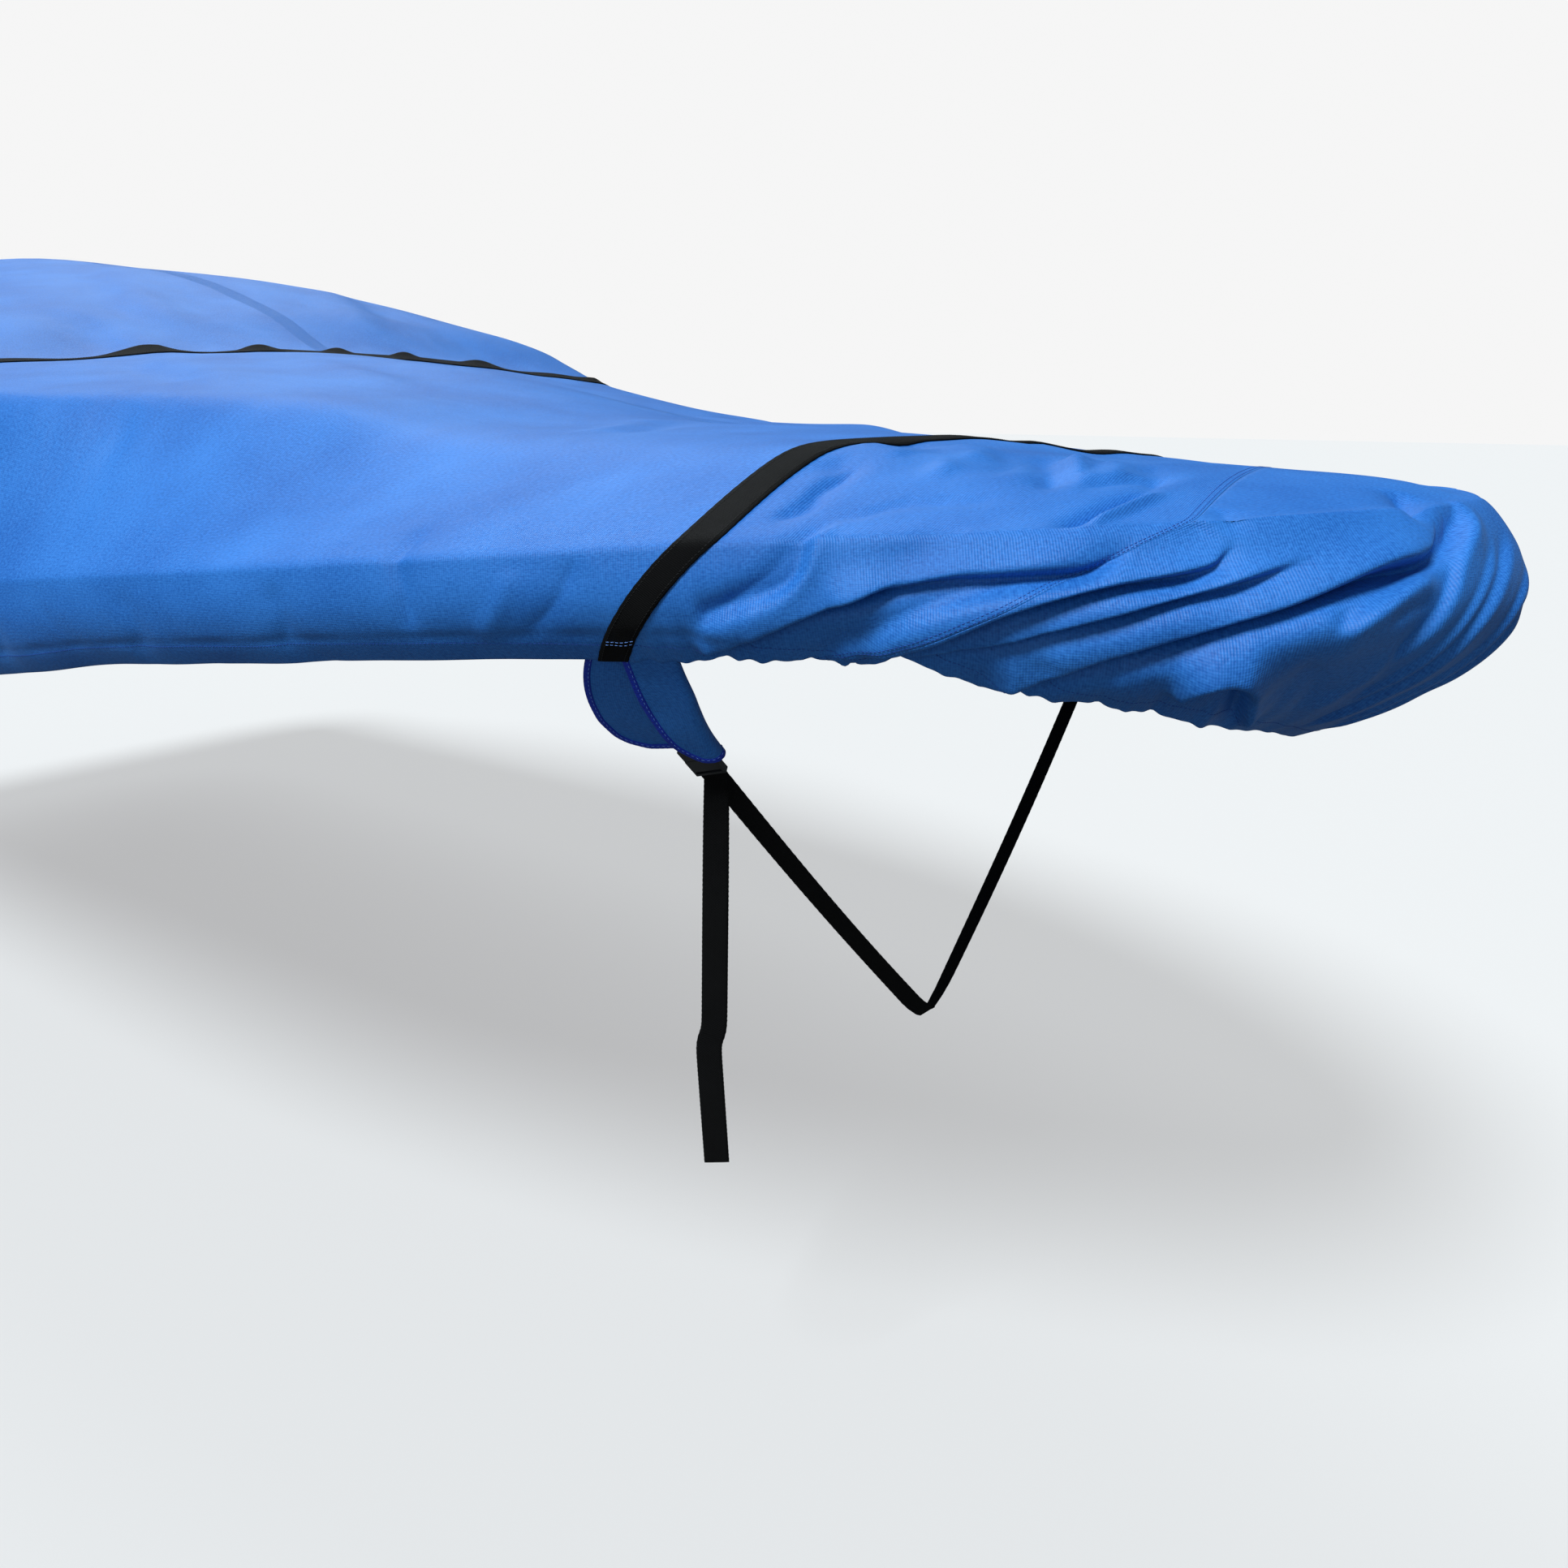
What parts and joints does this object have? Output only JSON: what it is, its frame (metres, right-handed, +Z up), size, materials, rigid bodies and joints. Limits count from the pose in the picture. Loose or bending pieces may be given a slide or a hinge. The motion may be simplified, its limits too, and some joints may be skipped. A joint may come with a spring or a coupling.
{
  "type": "boat cover",
  "caption": "Fitted blue cloth cover for a small runabout, hollow underneath, with black webbing sewn over the top and a buckled tie-down under the keel.",
  "frame": {"origin": "the place under the highest part of the top, on the centre line, where the boat holds the cover", "axes": "+X forward to the bow, level; +Y to port; +Z up; the keel line rises five degrees towards the bow"},
  "size_m": [4.4933, 1.7871, 1.1953],
  "materials": {
    "cover_cloth": "matt blue woven polyester",
    "edge_binding": "matt royal blue tape",
    "webbing": "matt black webbing",
    "buckle_plastic": "matt charcoal"
  },
  "bodies": {
    "root": {"cover_body": "cover_cloth", "cover_bow_cap": "cover_cloth", "tab_stbd": "cover_cloth", "tab_port": "cover_cloth", "binding_stbd": "edge_binding", "binding_port": "edge_binding", "strap_bow": "webbing", "strap_mid": "webbing", "hanger_stbd": "webbing", "hanger_port": "webbing", "tie_down": "webbing", "tail_stbd": "webbing", "socket_stbd": "buckle_plastic", "socket_port": "buckle_plastic", "ladder_stbd": "buckle_plastic", "ladder_port": "buckle_plastic"}
  },
  "joints": []
}
